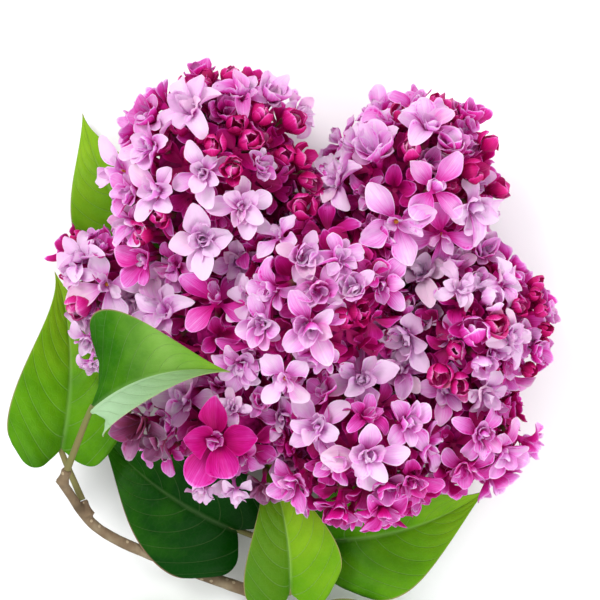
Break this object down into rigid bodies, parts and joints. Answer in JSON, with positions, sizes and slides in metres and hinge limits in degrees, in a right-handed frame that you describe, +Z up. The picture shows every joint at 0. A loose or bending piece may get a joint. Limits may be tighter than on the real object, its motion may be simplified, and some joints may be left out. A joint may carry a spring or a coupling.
{
  "type": "lilac stem",
  "caption": "Cut branch of double-flowered pink lilac with crimson buds and heart-shaped leaves, lying on its side.",
  "frame": {"origin": "centre of the bunch's box, on the table it lies on", "axes": "+Z up from the table, +Y along the stem from its cut end to the flowers, +X across the bunch"},
  "size_m": [0.2113, 0.2775, 0.0944],
  "materials": {
    "bark": "grey-brown young bark with pale pores",
    "petal": "soft satin petal, mauve pink",
    "bud": "smooth satin bud, crimson",
    "leaf": "waxy green leaf"
  },
  "bodies": {
    "root": {"stem_wood": "bark", "florets_front": "petal", "florets_upper_left": "petal", "florets_upper_right": "petal", "florets_right": "petal", "florets_low": "petal", "florets_lower_right": "petal", "florets_left": "petal", "florets_lower_left": "petal", "florets_middle_left": "petal", "buds_front": "bud", "buds_upper_left": "bud", "buds_upper_right": "bud", "buds_right": "bud", "buds_left": "bud", "leaf_front": "leaf", "leaf_far_left": "leaf", "leaf_upper_left": "leaf", "leaf_dark_low": "leaf", "leaf_bright_low": "leaf", "leaf_lower_right": "leaf", "leaf_stem_left": "leaf", "leaf_stem_right": "leaf"}
  },
  "joints": []
}
